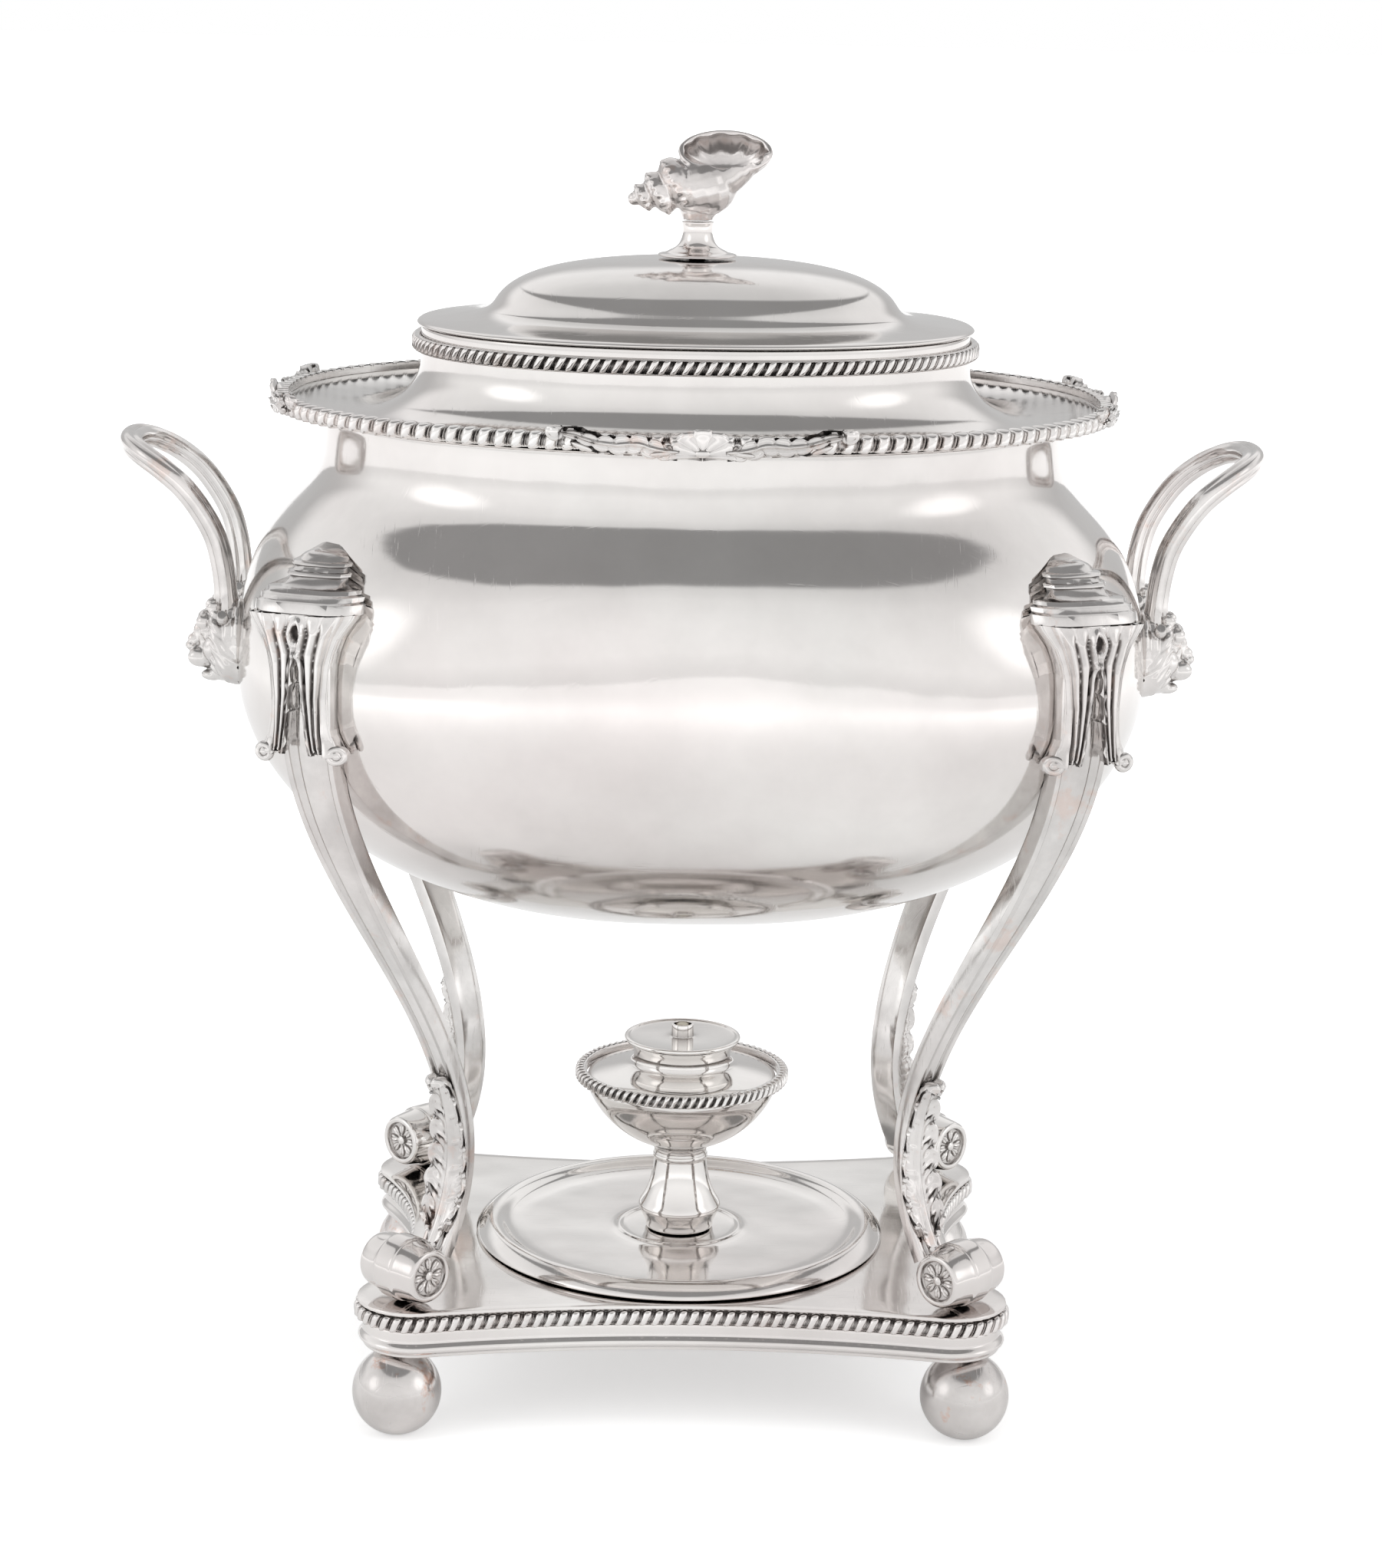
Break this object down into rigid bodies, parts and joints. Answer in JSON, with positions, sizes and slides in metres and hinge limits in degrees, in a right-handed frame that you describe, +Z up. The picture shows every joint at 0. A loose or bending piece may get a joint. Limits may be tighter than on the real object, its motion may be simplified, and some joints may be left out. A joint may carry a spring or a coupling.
{
  "type": "tea urn",
  "caption": "Oblong covered silver tea urn with reeded loop handles on lion masks, a shell finial and a rear tap, raised on scrolled legs over a spirit lamp.",
  "frame": {"origin": "middle of the whole outline, on the table plane that the ball feet stand on", "axes": "+Z up, the front with the shell's open side faces -Y, the tap is on +Y, +X is the urn's right as seen from the front"},
  "size_m": [0.3524, 0.2682, 0.3956],
  "materials": {
    "silver_plate": "hand-polished silver plate, bright with fine scratches and soft grey tarnish in the hollows",
    "cast_silver": "cast and chased silver, bright on the high parts and dark grey in the recesses",
    "brass_nut": "plain turned brass, dulled",
    "cotton_wick": "plaited cotton, off-white"
  },
  "bodies": {
    "urn": {"base_plate": "silver_plate", "base_gadroon": "cast_silver", "base_apron": "silver_plate", "drip_pan": "silver_plate", "ball_foot_front_right": "silver_plate", "ball_foot_front_left": "silver_plate", "ball_foot_back_right": "silver_plate", "ball_foot_back_left": "silver_plate", "scroll_foot_front_right": "silver_plate", "scroll_foot_front_left": "silver_plate", "scroll_foot_back_right": "silver_plate", "scroll_foot_back_left": "silver_plate", "leg_front_right": "silver_plate", "leg_front_left": "silver_plate", "leg_back_right": "silver_plate", "leg_back_left": "silver_plate", "leg_leaf_front_right": "cast_silver", "leg_leaf_front_left": "cast_silver", "leg_leaf_back_right": "cast_silver", "leg_leaf_back_left": "cast_silver", "leg_drape_front_right": "cast_silver", "leg_drape_front_left": "cast_silver", "leg_drape_back_right": "cast_silver", "leg_drape_back_left": "cast_silver", "leg_cap_front_right": "cast_silver", "leg_cap_front_left": "cast_silver", "leg_cap_back_right": "cast_silver", "leg_cap_back_left": "cast_silver", "vessel_shell": "silver_plate", "collar_and_flange": "silver_plate", "flange_gadroon": "cast_silver", "collar_gadroon": "cast_silver", "rim_ornament_front": "cast_silver", "rim_ornament_back": "cast_silver", "rim_ornament_right": "cast_silver", "rim_ornament_left": "cast_silver", "handle_right": "silver_plate", "handle_left": "silver_plate", "lion_mask_right_front": "cast_silver", "lion_mask_right_back": "cast_silver", "lion_mask_left_front": "cast_silver", "lion_mask_left_back": "cast_silver", "tap_body": "silver_plate", "tap_back_nut": "brass_nut"},
    "tap_key": {"tap_key": "silver_plate", "tap_key_nut": "brass_nut"},
    "lid": {"lid": "silver_plate", "lid_bezel": "silver_plate", "finial_stem": "silver_plate", "finial_nut": "brass_nut", "shell_finial": "cast_silver"},
    "lamp": {"lamp_bowl": "silver_plate", "lamp_gadroon": "cast_silver", "lamp_shoulder": "silver_plate"},
    "burner": {"burner_disc": "silver_plate"},
    "wick": {"wick": "cotton_wick"}
  },
  "joints": [
    {"name": "tap_turn", "type": "hinge", "parent": "urn", "child": "tap_key", "pos_m": [0, 0.10773, 0.196], "axis": [0, 0, 1], "range_deg": [0, 90]},
    {"name": "lid_lift", "type": "slide", "parent": "urn", "child": "lid", "axis": [0, 0, 1], "range_m": [0, 0.1]},
    {"name": "lamp_lift", "type": "slide", "parent": "urn", "child": "lamp", "axis": [0, 0, 1], "range_m": [0, 0.014]},
    {"name": "burner_lift", "type": "slide", "parent": "lamp", "child": "burner", "axis": [0, 0, 1], "range_m": [0, 0.01]},
    {"name": "wick_raise", "type": "slide", "parent": "burner", "child": "wick", "axis": [0, 0, 1], "range_m": [0, 0.0025]}
  ]
}
